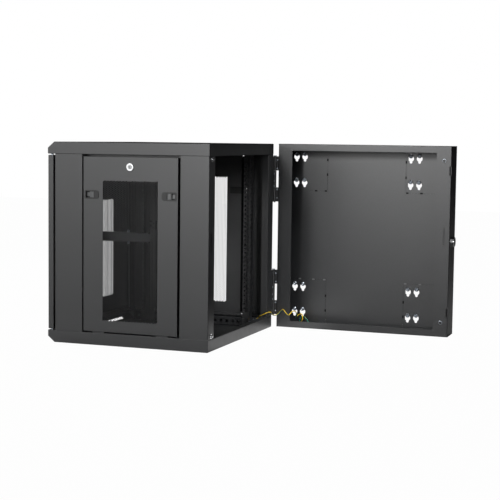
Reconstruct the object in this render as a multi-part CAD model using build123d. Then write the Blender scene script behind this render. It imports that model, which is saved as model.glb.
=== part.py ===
from build123d import *
import math
import os

# Cabinet body, all sizes in millimetres
CABINET_WIDTH = 600.0
CABINET_HEIGHT = 635.0
CABINET_DEPTH = 547.0
SHEET = 1.5
BEND_RADIUS = 2.5
BASE_BAND = 39.0
TOP_BAND = 38.0
NOSE_RUN = 22.6
NOSE_RISE = 19.2
SIDE_LIP = 30.0
REAR_LIP = 22.0
NOSE_LIP = 36.0
SILL_HEIGHT = 8.0
AIR_SLOT_LENGTH = 215.0
AIR_SLOT_WIDTH = 10.0
AIR_SLOT_BRIDGE = 24.0

# Corner posts
REAR_POST_DEPTH = 95.5
FRONT_POST_DEPTH = 96.0
FRONT_POST_SETBACK = 25.5
REAR_FLANGE = 49.0
FRONT_FLANGE = 45.0
POST_RETURN = 25.0
POST_LIP = 23.0

# Side panels
PANEL_DEPTH = 14.0
PANEL_FRONT_GAP = 3.5
PANEL_REAR_GAP = 6.5
PANEL_FOOT_HEIGHT = 3.5
PANEL_FOOT_WIDTH = 42.0
PANEL_FOOT_INSET = 30.5
PANEL_FOOT_DEPTH = 12.0
PANEL_TOP_GAP = 6.0
WINDOW_SIDE_MARGIN = 66.0
WINDOW_BOTTOM_MARGIN = 35.5
WINDOW_TOP_MARGIN = 73.0

# Perforation of the side panels and the door
HOLE_PITCH = 36.0
HOLE_WEB = 6.0

# Slide latches of the side panels
LATCH_LENGTH = 48.0
LATCH_HEIGHT = 27.0
LATCH_INSET = 5.5
LATCH_DROP = 118.5
LATCH_BEZEL = 2.0
LATCH_PROUD = 1.5
LATCH_BODY_DEPTH = 13.0
LATCH_WALL = 2.0
LATCH_FLOOR = 2.0
LATCH_KNOB = 14.0
LATCH_GROOVES = 3
LATCH_GROOVE = 1.4
LATCH_END_RADIUS = 9.0
LATCH_TRAVEL = 12.0
LATCH_TONGUE_HEIGHT = 12.0
LATCH_TONGUE_THICKNESS = 3.0
LATCH_CLEARANCE = 0.4
STRIKE_CLEARANCE = 1.5

# Cam locks
LOCK_FLANGE_RADIUS = 13.0
LOCK_FLANGE_HEIGHT = 3.0
LOCK_BODY_RADIUS = 9.5
LOCK_HOLE_CLEARANCE = 0.1
LOCK_PLUG_RADIUS = 7.0
LOCK_RUNNING_CLEARANCE = 0.05
LOCK_PLUG_PROUD = 0.8
LOCK_CHAMFER = 1.5
LOCK_CAM_GAP = 1.0
KEYWAY_WIDTH = 1.8
KEYWAY_HEIGHT = 8.0
KEYWAY_DEPTH = 5.0
CAM_THICKNESS = 2.5
CAM_WIDTH = 14.0
CAM_SLOT_CLEARANCE = 2.0
PANEL_LOCK_DROP = 31.0
PANEL_LOCK_LENGTH = 20.0
PANEL_CAM_BITE = 8.0

# Front door
DOOR_THICKNESS = 18.0
DOOR_SIDE_GAP = 2.0
DOOR_FRONT_SETBACK = 0.5
DOOR_BOTTOM_GAP = 3.5
DOOR_TOP_GAP = 4.0
DOOR_WINDOW_SIDE_MARGIN = 126.0
DOOR_WINDOW_BOTTOM_MARGIN = 56.0
DOOR_WINDOW_TOP_MARGIN = 156.5
DOOR_PIVOT_INSET = 11.0
PIVOT_RADIUS = 4.0
PIVOT_CLEARANCE = 0.05
PIVOT_COLLAR_RADIUS = 6.5
PIVOT_COLLAR_HEIGHT = 3.0
PIVOT_INNER_LENGTH = 8.0
PIVOT_OUTER_LENGTH = 9.0
DOOR_LOCK_INSET = 62.0
DOOR_LOCK_LENGTH = 26.5
DOOR_CAM_REACH = 45.0

# Rack rails and the braces that carry them
RACK_UNITS = 12
UNIT_HEIGHT = 44.45
UNIT_HOLES = (6.35, 22.225, 38.1)
RACK_HOLE_INSET = 29.45
RAIL_FLANGE = 37.0
RACK_HOLE_SIZE = 9.5
RAIL_THICKNESS = 2.0
RAIL_DEPTH = 36.0
RAIL_SIDE_HOLE_SETBACK = 19.0
RAIL_SMALL_HOLE_SETBACK = 29.0
RAIL_SMALL_HOLE = 6.5
RAIL_INSET = 38.0
RAIL_END_GAP = 4.0
REAR_RAIL_SETBACK = 57.5
FRONT_RAIL_SETBACK = 85.5
BRACE_HEIGHT = 31.5
BRACE_FOOT = 18.0
BRACE_TOP_FLANGE = 11.0
BRACE_FRONT_GAP = 39.5
BRACE_REAR_GAP = 26.5
BRACE_HOLE_PITCH = 21.0
BRACE_HOLE_MARGIN = 12.0
BRACE_HOLE_SIZE = 9.5
MID_BRACE_RISE = 9.5
MID_BRACE_HEIGHT = 29.5
MID_BRACE_FLANGE = 9.0
MID_BRACE_FRONT_OVERLAP = 12.0
MID_BRACE_LENGTH = 262.0
MID_BRACE_TAB = 22.0

# Wall frame, drawn closed against the cabinet's back and then swung open
RIM_GAP = 4.0
FRAME_DEPTH = 93.5
RIM_SIDE = 49.5
RIM_END = 22.5
BACK_LIP = 20.0
SEAM = 0.8
OPEN_ANGLE = 90.0
CORNER_HINGE_WIDTH = 150.5
CORNER_LOCK_WIDTH = 171.5
CORNER_HEIGHT = 162.0
KEYHOLE_WIDE_RADIUS = 10.0
KEYHOLE_SLOT_RADIUS = 4.75
KEYHOLE_HALF_LENGTH = 16.2
KEYHOLE_COLUMN_INSET = 37.8
KEYHOLE_LOCK_INSET = 155.8
KEYHOLE_PAIR = 29.5
KEYHOLE_OUTER_INSET = 45.0
KEYHOLE_INNER_INSET = 134.5
NOTCH_DEPTH = 6.5
NOTCH_HEIGHT = 29.0
NOTCH_INSET = 81.5

# Locating pins on the lock side post and their holes in the rim
PIN_INSET = 24.0
PIN_END_INSET = 48.0
PIN_RADIUS = 4.5
PIN_COLLAR_RADIUS = 8.0
PIN_COLLAR_HEIGHT = 1.0
PIN_LENGTH = 7.0
PIN_HOLE_RADIUS = 6.0

# Frame lock
FRAME_LOCK_SETBACK = 47.5
FRAME_LOCK_DROP = 1.5
FRAME_LOCK_FLANGE_RADIUS = 17.0
FRAME_LOCK_FLANGE_HEIGHT = 9.0
FRAME_LOCK_LENGTH = 17.0
FRAME_CAM_REACH = 60.0
CAM_SLOT_BELOW = 10.0
CAM_SLOT_ABOVE = 48.0

# Hinges between the cabinet and the wall frame
HINGE_OFFSET = 11.5
HINGE_HEIGHT = 156.0
HINGE_CENTRE_INSET = 121.0
HINGE_LEAF = 2.5
KNUCKLE_RADIUS = 5.0
KNUCKLE_MIDDLE = 57.0
KNUCKLE_GAP = 0.5
HINGE_PIN_RADIUS = 3.0
HINGE_PIN_CLEARANCE = 0.05
HINGE_PIN_HEAD = 3.0
CABINET_LEAF_START = 2.0
CABINET_LEAF_END = 42.0
FRAME_LEAF_END = 42.0
FRAME_LEAF_MIDDLE_START = 8.0

# Earth studs and the earth wire between cabinet and frame
STUD_RADIUS = 3.0
STUD_HEAD_RADIUS = 5.0
STUD_HEAD_HEIGHT = 4.0
RING_RADIUS = 6.0
RING_THICKNESS = 1.2
FERRULE_RADIUS = 2.7
FERRULE_LENGTH = 8.0
FERRULE_BORE_DEPTH = 5.0
FERRULE_CLEARANCE = 0.1
STUD_RAIL_GAP = 0.5
CABINET_STUD_Z = 23.0
CABINET_TERMINAL_TILT = 35.0
FRAME_STUD_OUT = 50.5
FRAME_STUD_ALONG = 144.5
WIRE_RADIUS = 1.6
WIRE_BEND_SHARE = 0.45
WIRE_ENTRY = 4.0
WIRE_CABINET_STRAIGHT = 12.0
WIRE_FRAME_STRAIGHT = 6.0

# Places worked out from the sizes above
HALF_WIDTH = CABINET_WIDTH / 2
REAR = CABINET_DEPTH / 2
FRONT = -REAR
MID_HEIGHT = CABINET_HEIGHT / 2
POST_BOTTOM = BASE_BAND
POST_TOP = CABINET_HEIGHT - TOP_BAND
REAR_POST_EDGE = REAR - REAR_POST_DEPTH
FRONT_POST_FACE = FRONT + FRONT_POST_SETBACK
FRONT_POST_EDGE = FRONT_POST_FACE + FRONT_POST_DEPTH
PANEL_FRONT = FRONT_POST_EDGE + PANEL_FRONT_GAP
PANEL_REAR = REAR_POST_EDGE - PANEL_REAR_GAP
PANEL_CENTRE = (PANEL_FRONT + PANEL_REAR) / 2
PANEL_BOTTOM = BASE_BAND + PANEL_FOOT_HEIGHT
PANEL_TOP = POST_TOP - PANEL_TOP_GAP
PANEL_INNER = HALF_WIDTH - PANEL_DEPTH
LATCH_CENTRE_Z = PANEL_TOP - LATCH_DROP
PANEL_LOCK_Z = PANEL_TOP - PANEL_LOCK_DROP
PANEL_CAM_REACH = POST_TOP - PANEL_LOCK_Z + PANEL_CAM_BITE
PANEL_CAM_X = HALF_WIDTH - PANEL_LOCK_LENGTH - LOCK_CAM_GAP - CAM_THICKNESS / 2
DOOR_FACE = FRONT + DOOR_FRONT_SETBACK
DOOR_BACK = DOOR_FACE + DOOR_THICKNESS
DOOR_EDGE = HALF_WIDTH - DOOR_SIDE_GAP
DOOR_BOTTOM = BASE_BAND + DOOR_BOTTOM_GAP
DOOR_TOP = POST_TOP - DOOR_TOP_GAP
DOOR_LOCK_HEIGHT = MID_HEIGHT
PIVOT_X = DOOR_EDGE - DOOR_PIVOT_INSET
PIVOT_Y = (DOOR_FACE + DOOR_BACK) / 2
RAIL_SIDE = HALF_WIDTH - RAIL_INSET
RACK_HOLE_X = RAIL_SIDE - RACK_HOLE_INSET
REAR_RAIL_FACE = REAR - REAR_RAIL_SETBACK
FRONT_RAIL_FACE = FRONT + FRONT_RAIL_SETBACK
BRACE_FRONT = FRONT + BRACE_FRONT_GAP
BRACE_REAR = REAR - BRACE_REAR_GAP
MID_BRACE_BOTTOM = MID_HEIGHT + MID_BRACE_RISE
MID_BRACE_FRONT = FRONT_RAIL_FACE - MID_BRACE_FRONT_OVERLAP
RIM = REAR + RIM_GAP
FRAME_BACK = RIM + FRAME_DEPTH
HINGE_X = -HALF_WIDTH - HINGE_OFFSET
HINGE_Y = REAR + RIM_GAP / 2
FRAME_LOCK_Y = RIM + FRAME_LOCK_SETBACK
FRAME_LOCK_HEIGHT = MID_HEIGHT - FRAME_LOCK_DROP
FRAME_CAM_X = HALF_WIDTH - FRAME_LOCK_LENGTH - LOCK_CAM_GAP - CAM_THICKNESS / 2
PIN_X = HALF_WIDTH - PIN_INSET
CORNER_HINGE_EDGE = -HALF_WIDTH + CORNER_HINGE_WIDTH
CORNER_LOCK_EDGE = HALF_WIDTH - CORNER_LOCK_WIDTH
KEYHOLE_HINGE_COLUMN = -HALF_WIDTH + KEYHOLE_COLUMN_INSET
KEYHOLE_LOCK_COLUMN = HALF_WIDTH - KEYHOLE_LOCK_INSET
CABINET_STUD_Y = REAR_RAIL_FACE + RING_RADIUS + STUD_RAIL_GAP
FRAME_STUD_X = HINGE_X - FRAME_STUD_OUT
FRAME_STUD_Y = HINGE_Y + FRAME_STUD_ALONG

# The earth wire's route between its two ferrules, measured from the hinge axis and the floor
WIRE_ROUTE = [
    (66, -28, 42),
    (70, -13, 49),
    (65, 3, 58),
    (50, 10, 56),
    (32, 6, 47),
    (14, 9, 40),
    (5, 20, 44),
    (3, 28, 55),
    (8, 38, 63),
    (18, 47, 60),
    (20, 55, 49),
    (10, 61, 43),
    (-1, 63, 49),
    (-8, 70, 58),
    (-16, 78, 55),
    (-22, 81, 42),
    (-31, 75, 32),
    (-44, 69, 29),
    (-55, 73, 37),
    (-54, 86, 44),
    (-44, 95, 38),
    (-39, 95, 23),
    (-46, 87, 11),
    (-58, 78, 14),
    (-63, 80, 28),
    (-59, 91, 35),
    (-52, 103, 29),
    (-50, 114, 16),
]


def block(x0, x1, y0, y1, z0, z1):
    """A box between two corners."""
    centre = ((x0 + x1) / 2, (y0 + y1) / 2, (z0 + z1) / 2)
    return Pos(*centre) * Box(abs(x1 - x0), abs(y1 - y0), abs(z1 - z0))


def folded_sheet(points, sheet, inside):
    """The section of a folded sheet, its outside along the points and its inside on the given side of them."""
    outside = FilletPolyline(*points, radius=BEND_RADIUS)
    return make_face(offset(outside, sheet, side=inside, kind=Kind.INTERSECTION))


def standing_fold(points, bottom, top, sheet=SHEET, inside=Side.LEFT):
    """A folded sheet that stands upright."""
    return Pos(0, 0, bottom) * extrude(folded_sheet(points, sheet, inside), top - bottom)


def hexagons(width, height):
    """Staggered hexagonal holes centred in a window, as many as fit."""
    column_step = HOLE_PITCH * math.sqrt(3) / 2
    corner_radius = (HOLE_PITCH - HOLE_WEB) / math.sqrt(3)
    columns = int((width - 2 * corner_radius) / column_step) + 1
    rows = int((height - HOLE_PITCH / 2 - HOLE_PITCH + HOLE_WEB) / HOLE_PITCH) + 1
    holes = Sketch()
    for column in range(columns):
        u = (column - (columns - 1) / 2) * column_step
        shift = HOLE_PITCH / 4 if column % 2 else -HOLE_PITCH / 4
        for row in range(rows):
            v = (row - (rows - 1) / 2) * HOLE_PITCH + shift
            holes += Pos(u, v) * RegularPolygon(corner_radius, 6)
    return holes


def cabinet_tray(band):
    """A folded tray with a chamfered nose and its floor at z = 0.

    Lips turn in round its open top, and those at the sides turn up again as sills behind the side panels.
    """
    outline = Polyline(
        (FRONT, NOSE_RISE),
        (FRONT + NOSE_RUN, 0),
        (REAR, 0),
        (REAR, band),
        (FRONT, band),
        close=True,
    )
    section = make_face(outline)
    section = fillet(section.vertices(), BEND_RADIUS)
    outer = extrude(Plane.YZ * section, HALF_WIDTH, both=True)
    ends = outer.faces().sort_by(Axis.X)
    outer = fillet(ends[0].edges() + ends[-1].edges(), SHEET)
    hollow = offset(section, -SHEET)
    inner = extrude(Plane.YZ * hollow, HALF_WIDTH - SHEET, both=True)
    mouth = block(
        -HALF_WIDTH + SIDE_LIP,
        HALF_WIDTH - SIDE_LIP,
        FRONT + NOSE_LIP,
        REAR - REAR_LIP,
        band - 2 * SHEET,
        band + SHEET,
    )
    bore = Pos(PIVOT_X, PIVOT_Y, band) * Cylinder(PIVOT_RADIUS + PIVOT_CLEARANCE, 4 * SHEET)
    tray = outer - inner - mouth - bore
    for side in (-1, 1):
        edge = side * (HALF_WIDTH - SIDE_LIP)
        tray += block(edge, edge + side * SHEET, PANEL_FRONT, PANEL_REAR, band - SHEET, band + SILL_HEIGHT)
    return tray


def base_pan():
    """The floor of the cabinet, with air slots along the chamfer of its nose."""
    pan = cabinet_tray(BASE_BAND)
    slope = math.degrees(math.atan2(NOSE_RISE, NOSE_RUN))
    for side in (-1, 1):
        x = side * (AIR_SLOT_LENGTH + AIR_SLOT_BRIDGE) / 2
        place = Pos(x, FRONT + NOSE_RUN / 2, NOSE_RISE / 2) * Rot(-slope, 0, 0)
        pan -= place * Box(AIR_SLOT_LENGTH, AIR_SLOT_WIDTH, 6 * SHEET)
    return pan


def top_cover():
    """The roof of the cabinet, with slots in its side lips that the side panels' cams swing up through."""
    cover = mirror(cabinet_tray(TOP_BAND), about=Plane.XY).moved(Pos(0, 0, CABINET_HEIGHT))
    sweep = math.sqrt(PANEL_CAM_REACH**2 - (POST_TOP - PANEL_LOCK_Z) ** 2)
    half_width = CAM_THICKNESS / 2 + CAM_SLOT_CLEARANCE
    slot = block(
        PANEL_CAM_X - half_width,
        PANEL_CAM_X + half_width,
        PANEL_CENTRE - sweep - CAM_SLOT_CLEARANCE,
        PANEL_CENTRE + CAM_WIDTH / 2 + CAM_SLOT_CLEARANCE,
        POST_TOP - SHEET,
        POST_TOP + 2 * SHEET,
    )
    return cover - slot - mirror(slot, about=Plane.YZ)


def strike(y):
    """The hole in a post's return that a latch tongue enters."""
    x = HALF_WIDTH - LATCH_BODY_DEPTH + LATCH_FLOOR + LATCH_TONGUE_THICKNESS / 2
    half_x = LATCH_TONGUE_THICKNESS / 2 + STRIKE_CLEARANCE
    half_z = LATCH_TONGUE_HEIGHT / 2 + STRIKE_CLEARANCE
    return block(
        x - half_x,
        x + half_x,
        y - 2 * SHEET,
        y + 2 * SHEET,
        LATCH_CENTRE_Z - half_z,
        LATCH_CENTRE_Z + half_z,
    )


def front_post():
    """The right front post: side face, front flange and the return that faces the side panel."""
    points = [
        (HALF_WIDTH - FRONT_FLANGE, FRONT_POST_FACE),
        (HALF_WIDTH, FRONT_POST_FACE),
        (HALF_WIDTH, FRONT_POST_EDGE),
        (HALF_WIDTH - POST_RETURN, FRONT_POST_EDGE),
    ]
    return standing_fold(points, POST_BOTTOM, POST_TOP) - strike(FRONT_POST_EDGE)


def rear_post():
    """The right rear post: a closed-in channel with its wide faces to the side and to the back."""
    points = [
        (HALF_WIDTH - POST_RETURN, REAR_POST_EDGE),
        (HALF_WIDTH, REAR_POST_EDGE),
        (HALF_WIDTH, REAR),
        (HALF_WIDTH - REAR_FLANGE, REAR),
        (HALF_WIDTH - REAR_FLANGE, REAR - POST_LIP),
    ]
    return standing_fold(points, POST_BOTTOM, POST_TOP) - strike(REAR_POST_EDGE)


def cam_slot(y):
    """The upright slot that the frame lock's cam sweeps through, in the sheet at y."""
    half_width = CAM_THICKNESS / 2 + CAM_SLOT_CLEARANCE
    return block(
        FRAME_CAM_X - half_width,
        FRAME_CAM_X + half_width,
        y - 2 * SHEET,
        y + 2 * SHEET,
        FRAME_LOCK_HEIGHT - CAM_SLOT_BELOW,
        FRAME_LOCK_HEIGHT + CAM_SLOT_ABOVE,
    )


def latch_outline(margin):
    """The latch body's rectangle in the panel's plane, as (front, rear, bottom, top)."""
    front = PANEL_FRONT + LATCH_INSET
    return (
        front + margin,
        front + LATCH_LENGTH - margin,
        LATCH_CENTRE_Z - LATCH_HEIGHT / 2 + margin,
        LATCH_CENTRE_Z + LATCH_HEIGHT / 2 - margin,
    )


def across_panel(shape):
    """The same shape at the other end of the side panel."""
    return mirror(shape, about=Plane.XZ.offset(-PANEL_CENTRE))


def tongue_hole(y):
    """The hole that a latch tongue passes through in the panel's own return or the latch's end wall."""
    x = HALF_WIDTH - LATCH_BODY_DEPTH + LATCH_FLOOR
    half_z = LATCH_TONGUE_HEIGHT / 2 + LATCH_CLEARANCE
    return block(
        x - LATCH_CLEARANCE,
        x + LATCH_TONGUE_THICKNESS + LATCH_CLEARANCE,
        y - 2 * LATCH_WALL,
        y + 2 * LATCH_WALL,
        LATCH_CENTRE_Z - half_z,
        LATCH_CENTRE_Z + half_z,
    )


def side_panel():
    """The right side panel: a folded skin with a punched window, two feet, two latch cut-outs and a lock hole."""
    skin = block(PANEL_INNER, HALF_WIDTH, PANEL_FRONT, PANEL_REAR, PANEL_BOTTOM, PANEL_TOP)
    outer_face = skin.faces().sort_by(Axis.X)[-1]
    skin = fillet(outer_face.edges(), SHEET)
    skin -= block(
        PANEL_INNER - SHEET,
        HALF_WIDTH - SHEET,
        PANEL_FRONT + SHEET,
        PANEL_REAR - SHEET,
        PANEL_BOTTOM + SHEET,
        PANEL_TOP - SHEET,
    )
    window_bottom = PANEL_BOTTOM + WINDOW_BOTTOM_MARGIN
    window_top = PANEL_TOP - WINDOW_TOP_MARGIN
    window_width = PANEL_REAR - PANEL_FRONT - 2 * WINDOW_SIDE_MARGIN
    holes = hexagons(window_width, window_top - window_bottom)
    holes = Pos(PANEL_CENTRE, (window_bottom + window_top) / 2) * holes
    skin -= extrude(Plane.YZ.offset(PANEL_INNER) * holes, 2 * PANEL_DEPTH)
    front, rear, bottom, top = latch_outline(LATCH_BEZEL)
    cut_out = block(PANEL_INNER, HALF_WIDTH + SHEET, front, rear, bottom, top) + tongue_hole(PANEL_FRONT)
    lock_hole = Pos(HALF_WIDTH, PANEL_CENTRE, PANEL_LOCK_Z) * Rot(0, 90, 0) * Cylinder(
        LOCK_BODY_RADIUS + LOCK_HOLE_CLEARANCE, 2 * PANEL_DEPTH
    )
    skin = skin - cut_out - across_panel(cut_out) - lock_hole
    rear_foot = block(
        HALF_WIDTH - PANEL_FOOT_DEPTH,
        HALF_WIDTH - SHEET,
        PANEL_REAR - PANEL_FOOT_INSET - PANEL_FOOT_WIDTH,
        PANEL_REAR - PANEL_FOOT_INSET,
        BASE_BAND,
        PANEL_BOTTOM + SHEET,
    )
    return skin + rear_foot + across_panel(rear_foot)


def latch_housing():
    """The front latch's moulded body with its bezel on the panel's face, rounded at the end away from the post."""
    front, rear, bottom, top = latch_outline(0)
    bezel = block(HALF_WIDTH, HALF_WIDTH + LATCH_PROUD, front, rear, bottom, top)
    bezel = fillet(bezel.edges().filter_by(Axis.X).group_by(Axis.Y)[0], LATCH_BEZEL)
    bezel = fillet(bezel.edges().filter_by(Axis.X).group_by(Axis.Y)[-1], LATCH_END_RADIUS)
    front, rear, bottom, top = latch_outline(LATCH_BEZEL)
    cup = block(HALF_WIDTH - LATCH_BODY_DEPTH, HALF_WIDTH, front, rear, bottom, top)
    floor = HALF_WIDTH - LATCH_BODY_DEPTH + LATCH_FLOOR
    front, rear, bottom, top = latch_outline(LATCH_BEZEL + LATCH_WALL)
    pocket_rear = front + LATCH_TRAVEL + LATCH_KNOB + 2 * LATCH_CLEARANCE
    pocket = block(floor, HALF_WIDTH + 2 * LATCH_PROUD, front, pocket_rear, bottom, top)
    end_wall = PANEL_FRONT + LATCH_INSET + LATCH_BEZEL + LATCH_WALL / 2
    return bezel + cup - pocket - tongue_hole(end_wall)


def latch_slider():
    """The front latch's thumb slide and its tongue, drawn back so that the panel is free."""
    floor = HALF_WIDTH - LATCH_BODY_DEPTH + LATCH_FLOOR
    front, rear, bottom, top = latch_outline(LATCH_BEZEL + LATCH_WALL + LATCH_CLEARANCE)
    knob_front = front + LATCH_TRAVEL
    knob = block(floor, HALF_WIDTH - LATCH_CLEARANCE, knob_front, knob_front + LATCH_KNOB, bottom, top)
    thumb_edges = knob.faces().sort_by(Axis.X)[-1].edges().filter_by(Axis.Z)
    knob = fillet(thumb_edges, LATCH_WALL)
    groove_step = LATCH_KNOB / (LATCH_GROOVES + 1)
    for n in range(LATCH_GROOVES):
        groove_y = knob_front + (n + 1) * groove_step
        knob -= Pos(HALF_WIDTH - LATCH_CLEARANCE, groove_y, LATCH_CENTRE_Z) * Box(
            2 * LATCH_GROOVE, LATCH_GROOVE, LATCH_HEIGHT
        )
    half_height = LATCH_TONGUE_HEIGHT / 2
    tongue = block(
        floor,
        floor + LATCH_TONGUE_THICKNESS,
        PANEL_FRONT + LATCH_CLEARANCE,
        knob_front + LATCH_WALL,
        LATCH_CENTRE_Z - half_height,
        LATCH_CENTRE_Z + half_height,
    )
    return knob + tongue


def lock_barrel(length, flange_radius, flange_height):
    """A cam lock's fixed barrel: flange outside the face at z = 0, body inside it, bore right through."""
    bore = LOCK_PLUG_RADIUS + LOCK_RUNNING_CLEARANCE
    section = Polyline(
        (bore, -length),
        (LOCK_BODY_RADIUS, -length),
        (LOCK_BODY_RADIUS, 0),
        (flange_radius, 0),
        (flange_radius, flange_height - LOCK_CHAMFER),
        (flange_radius - LOCK_CHAMFER, flange_height),
        (bore, flange_height),
        close=True,
    )
    return revolve(Plane.XZ * make_face(section), Axis.Z)


def lock_plug(length, flange_height):
    """A cam lock's turning plug, with its keyway open to the front."""
    front = flange_height + LOCK_PLUG_PROUD
    back = -length - LOCK_CAM_GAP
    plug = Pos(0, 0, (front + back) / 2) * Cylinder(LOCK_PLUG_RADIUS, front - back)
    return plug - Pos(0, 0, front) * Box(KEYWAY_WIDTH, KEYWAY_HEIGHT, 2 * KEYWAY_DEPTH)


def lock_cam(length, reach):
    """A cam lock's flat cam behind the plug, pointing along +X."""
    back = -length - LOCK_CAM_GAP
    centre_run = reach - CAM_WIDTH / 2
    outline = Pos(centre_run / 2, 0) * SlotCenterToCenter(centre_run, CAM_WIDTH)
    return Pos(0, 0, back - CAM_THICKNESS) * extrude(outline, CAM_THICKNESS)


def front_door():
    """The front door: a folded skin with a punched window, two pivot holes and a lock hole."""
    skin = block(-DOOR_EDGE, DOOR_EDGE, DOOR_FACE, DOOR_BACK, DOOR_BOTTOM, DOOR_TOP)
    outer_face = skin.faces().sort_by(Axis.Y)[0]
    skin = fillet(outer_face.edges(), SHEET)
    skin -= block(
        -DOOR_EDGE + SHEET,
        DOOR_EDGE - SHEET,
        DOOR_FACE + SHEET,
        DOOR_BACK + SHEET,
        DOOR_BOTTOM + SHEET,
        DOOR_TOP - SHEET,
    )
    window_bottom = DOOR_BOTTOM + DOOR_WINDOW_BOTTOM_MARGIN
    window_top = DOOR_TOP - DOOR_WINDOW_TOP_MARGIN
    holes = hexagons(2 * (DOOR_EDGE - DOOR_WINDOW_SIDE_MARGIN), window_top - window_bottom)
    holes = Pos(0, (window_bottom + window_top) / 2) * holes
    skin -= extrude(Plane.XZ.offset(-DOOR_BACK) * holes, 2 * DOOR_THICKNESS)
    lock_hole = Pos(-DOOR_EDGE + DOOR_LOCK_INSET, DOOR_FACE, DOOR_LOCK_HEIGHT) * Rot(90, 0, 0) * Cylinder(
        LOCK_BODY_RADIUS + LOCK_HOLE_CLEARANCE, DOOR_THICKNESS
    )
    bore = Pos(PIVOT_X, PIVOT_Y, (DOOR_BOTTOM + DOOR_TOP) / 2) * Cylinder(
        PIVOT_RADIUS + PIVOT_CLEARANCE, 2 * (DOOR_TOP - DOOR_BOTTOM)
    )
    return skin - lock_hole - bore


def door_pivot():
    """A pivot pin for the door's top edge, its collar under the door's return and its end up in the cover."""
    section = Polyline(
        (0, -SHEET - PIVOT_INNER_LENGTH),
        (PIVOT_RADIUS, -SHEET - PIVOT_INNER_LENGTH),
        (PIVOT_RADIUS, -SHEET - PIVOT_COLLAR_HEIGHT),
        (PIVOT_COLLAR_RADIUS, -SHEET - PIVOT_COLLAR_HEIGHT),
        (PIVOT_COLLAR_RADIUS, -SHEET),
        (PIVOT_RADIUS, -SHEET),
        (PIVOT_RADIUS, PIVOT_OUTER_LENGTH),
        (0, PIVOT_OUTER_LENGTH),
        close=True,
    )
    return revolve(Plane.XZ * make_face(section), Axis.Z)


def brace():
    """A lower right depth brace: a holed web on a foot, with a short flange along its top."""
    points = [
        (RAIL_SIDE + BRACE_FOOT, SHEET),
        (RAIL_SIDE, SHEET),
        (RAIL_SIDE, SHEET + BRACE_HEIGHT),
        (RAIL_SIDE + BRACE_TOP_FLANGE, SHEET + BRACE_HEIGHT),
    ]
    section = folded_sheet(points, SHEET, Side.RIGHT)
    length = BRACE_REAR - BRACE_FRONT
    body = extrude(Plane.XZ.offset(-BRACE_REAR) * section, length)
    middle = (BRACE_FRONT + BRACE_REAR) / 2
    hole_z = SHEET + BRACE_HEIGHT / 2
    count = int((length - 2 * BRACE_HOLE_MARGIN) / BRACE_HOLE_PITCH) + 1
    for n in range(count):
        y = middle + (n - (count - 1) / 2) * BRACE_HOLE_PITCH
        body -= Pos(RAIL_SIDE, y, hole_z) * Box(4 * SHEET, BRACE_HOLE_SIZE, BRACE_HOLE_SIZE)
    return body


def mid_brace():
    """The right mid-height brace: from the front rail past the front post's return, to carry the rail's middle."""
    top = MID_BRACE_BOTTOM + MID_BRACE_HEIGHT
    points = [
        (RAIL_SIDE + MID_BRACE_FLANGE, MID_BRACE_BOTTOM),
        (RAIL_SIDE, MID_BRACE_BOTTOM),
        (RAIL_SIDE, top),
        (RAIL_SIDE + MID_BRACE_FLANGE, top),
    ]
    section = folded_sheet(points, SHEET, Side.RIGHT)
    body = extrude(Plane.XZ.offset(-MID_BRACE_FRONT - MID_BRACE_LENGTH) * section, MID_BRACE_LENGTH)
    tab = block(
        RAIL_SIDE,
        RAIL_SIDE + MID_BRACE_TAB,
        FRONT_POST_EDGE,
        FRONT_POST_EDGE + SHEET,
        MID_BRACE_BOTTOM,
        top,
    )
    return body + tab


def rack_holes():
    """The heights of a rail's rack holes from the bottom up, and of the smaller holes half way between them."""
    first_unit = MID_HEIGHT - RACK_UNITS * UNIT_HEIGHT / 2
    heights = []
    for unit in range(RACK_UNITS):
        for offset_z in UNIT_HOLES:
            heights.append(first_unit + unit * UNIT_HEIGHT + offset_z)
    between = [(low + high) / 2 for low, high in zip(heights, heights[1:])]
    return heights, between


def rack_rail(face, toward):
    """A right rack rail: a holed mounting flange at y = face, folded into a holed side flange behind it."""
    points = [
        (RAIL_SIDE - RAIL_FLANGE, face),
        (RAIL_SIDE, face),
        (RAIL_SIDE, face + toward * RAIL_DEPTH),
    ]
    inside = Side.LEFT if toward > 0 else Side.RIGHT
    rail = standing_fold(points, RAIL_END_GAP, CABINET_HEIGHT - RAIL_END_GAP, RAIL_THICKNESS, inside)
    heights, between = rack_holes()
    mount_holes = Sketch()
    side_holes = Sketch()
    for z in heights:
        mount_holes += Pos(RACK_HOLE_X, z) * Rectangle(RACK_HOLE_SIZE, RACK_HOLE_SIZE)
        side_holes += Pos(face + toward * RAIL_SIDE_HOLE_SETBACK, z) * Rectangle(RACK_HOLE_SIZE, RACK_HOLE_SIZE)
    for z in between:
        side_holes += Pos(face + toward * RAIL_SMALL_HOLE_SETBACK, z) * Rectangle(RAIL_SMALL_HOLE, RAIL_SMALL_HOLE)
    rail -= extrude(Plane.XZ.offset(-face) * mount_holes, 2 * RAIL_THICKNESS, both=True)
    return rail - extrude(Plane.YZ.offset(RAIL_SIDE) * side_holes, 2 * RAIL_THICKNESS, both=True)


def opened(shape):
    """A piece of the wall frame, swung from its closed place to the open one."""
    turn = Pos(HINGE_X, HINGE_Y, 0) * Rot(0, 0, OPEN_ANGLE) * Pos(-HINGE_X, -HINGE_Y, 0)
    return turn * shape


def frame_side_channel():
    """The lock side channel of the wall frame: rim, deep wall and back lip."""
    points = [
        (HALF_WIDTH - RIM_SIDE, RIM),
        (HALF_WIDTH, RIM),
        (HALF_WIDTH, FRAME_BACK),
        (HALF_WIDTH - BACK_LIP, FRAME_BACK),
    ]
    return standing_fold(points, SHEET, CABINET_HEIGHT - SHEET)


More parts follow.
